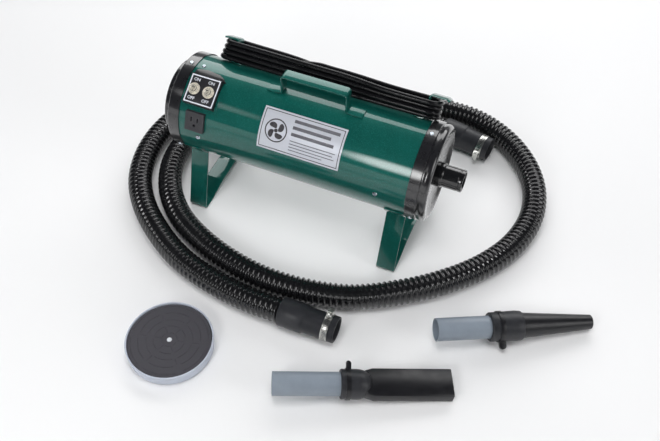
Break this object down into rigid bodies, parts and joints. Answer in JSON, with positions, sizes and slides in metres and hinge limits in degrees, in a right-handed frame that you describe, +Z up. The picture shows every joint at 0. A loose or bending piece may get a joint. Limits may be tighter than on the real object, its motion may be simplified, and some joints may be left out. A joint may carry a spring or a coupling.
{
  "type": "pet dryer",
  "caption": "Horizontal cylinder pet dryer on strap legs, with a carrying handle, wound mains cord, ribbed hose, flat and cone nozzles and a spare filter.",
  "frame": {"origin": "on the floor, midway between the four feet and below the middle of the body", "axes": "+X along the body towards the air outlet, +Y to the rear (the controls face -Y), +Z up"},
  "size_m": [0.977, 0.849, 0.328],
  "materials": {
    "green_enamel": "dark green metallic powder coat, gloss",
    "black_enamel": "black gloss enamel on steel",
    "black_tube": "gloss black tube",
    "zinc_screws": "bright zinc plate",
    "label_foil": "brushed foil with a plain printed border",
    "switch_moulding": "black moulding",
    "switch_face": "dark plate with a white border",
    "nickel": "nickel plate",
    "receptacle_nylon": "dark nylon",
    "foam": "open-cell foam",
    "galvanised_steel": "galvanised sheet",
    "motor_iron": "laminated core with copper windings",
    "fan_aluminium": "spun aluminium",
    "bearing_steel": "ground steel",
    "carbon": "carbon in moulded holders",
    "mica": "mica board",
    "heater_wire": "oxidised resistance wire",
    "cord_jacket": "black jacket, slight gloss",
    "hose_vinyl": "glossy black ribbed vinyl",
    "cuff_rubber": "matt black rubber",
    "stainless": "stainless worm-drive clamp",
    "grey_pvc": "light blue-grey tube",
    "nozzle_black": "black moulding, satin",
    "filter_pale": "pale blue-white moulding",
    "filter_disc": "dark grey moulded disc",
    "filter_stud": "white"
  },
  "bodies": {
    "dryer": {"body_shell": "green_enamel", "handle": "green_enamel", "left_leg": "green_enamel", "right_leg": "green_enamel", "cord_hook_left": "green_enamel", "cord_hook_right": "green_enamel", "intake_cap": "black_enamel", "outlet_cap": "black_enamel", "outlet_tube": "black_tube", "cap_screws": "zinc_screws", "body_screws": "zinc_screws", "label_plate": "label_foil", "switch_box": "switch_moulding", "switch_bodies": "switch_moulding", "heat_limiter": "switch_moulding", "switch_plate": "switch_face", "toggle_nuts": "nickel", "receptacle": "receptacle_nylon", "acoustic_liner": "foam", "motor_bracket": "galvanised_steel", "motor_can": "galvanised_steel", "heater_bulkhead": "galvanised_steel", "field_stator": "motor_iron", "fan_shroud": "fan_aluminium", "bearing_front": "bearing_steel", "bearing_rear": "bearing_steel", "carbon_brushes": "carbon", "heater_frame": "mica", "heater_coils": "heater_wire", "cord_gland": "cord_jacket", "power_cord_lead": "cord_jacket", "power_cord_winding": "cord_jacket", "power_cord_tail": "cord_jacket", "power_plug": "cord_jacket", "hose": "hose_vinyl", "hose_cuff_front": "cuff_rubber", "hose_cuff_rear": "cuff_rubber", "hose_clamp_bands": "stainless", "hose_clamp_screws": "stainless"},
    "rotor": {"armature": "motor_iron", "fan_impeller": "fan_aluminium"},
    "toggle_a": {"toggle_left": "nickel"},
    "toggle_b": {"toggle_right": "nickel"},
    "intake_filter": {"intake_cover": "black_enamel", "intake_foam": "foam"},
    "flat_nozzle": {"flat_nozzle_tube": "grey_pvc", "flat_nozzle_cuff": "cuff_rubber", "flat_nozzle_tie": "nozzle_black", "flat_nozzle_head": "nozzle_black"},
    "cone_nozzle": {"cone_nozzle_tube": "grey_pvc", "cone_nozzle_cuff": "cuff_rubber", "cone_nozzle_tie": "nozzle_black", "cone_nozzle_head": "nozzle_black"},
    "spare_filter": {"spare_filter_dish": "filter_pale", "spare_filter_disc": "filter_disc", "spare_filter_stud": "filter_stud"}
  },
  "joints": [
    {"name": "rotor_spin", "type": "hinge", "parent": "dryer", "child": "rotor", "pos_m": [-0.04, 0, 0.197], "axis": [1, 0, 0], "continuous": true},
    {"name": "toggle_a_flip", "type": "hinge", "parent": "dryer", "child": "toggle_a", "pos_m": [-0.2, -0.05193, 0.28011], "axis": [-1, 0, 0], "range_deg": [0, 25]},
    {"name": "toggle_b_flip", "type": "hinge", "parent": "dryer", "child": "toggle_b", "pos_m": [-0.1715, -0.05193, 0.28011], "axis": [-1, 0, 0], "range_deg": [0, 25]},
    {"name": "intake_filter_pull", "type": "slide", "parent": "dryer", "child": "intake_filter", "axis": [-1, 0, 0], "range_m": [0, 0.03]},
    {"name": "flat_nozzle_lift", "type": "slide", "parent": "dryer", "child": "flat_nozzle", "axis": [0, 0, 1], "range_m": [0, 0.12]},
    {"name": "cone_nozzle_lift", "type": "slide", "parent": "dryer", "child": "cone_nozzle", "axis": [0, 0, 1], "range_m": [0, 0.12]},
    {"name": "spare_filter_lift", "type": "slide", "parent": "dryer", "child": "spare_filter", "axis": [0, 0, 1], "range_m": [0, 0.12]}
  ]
}
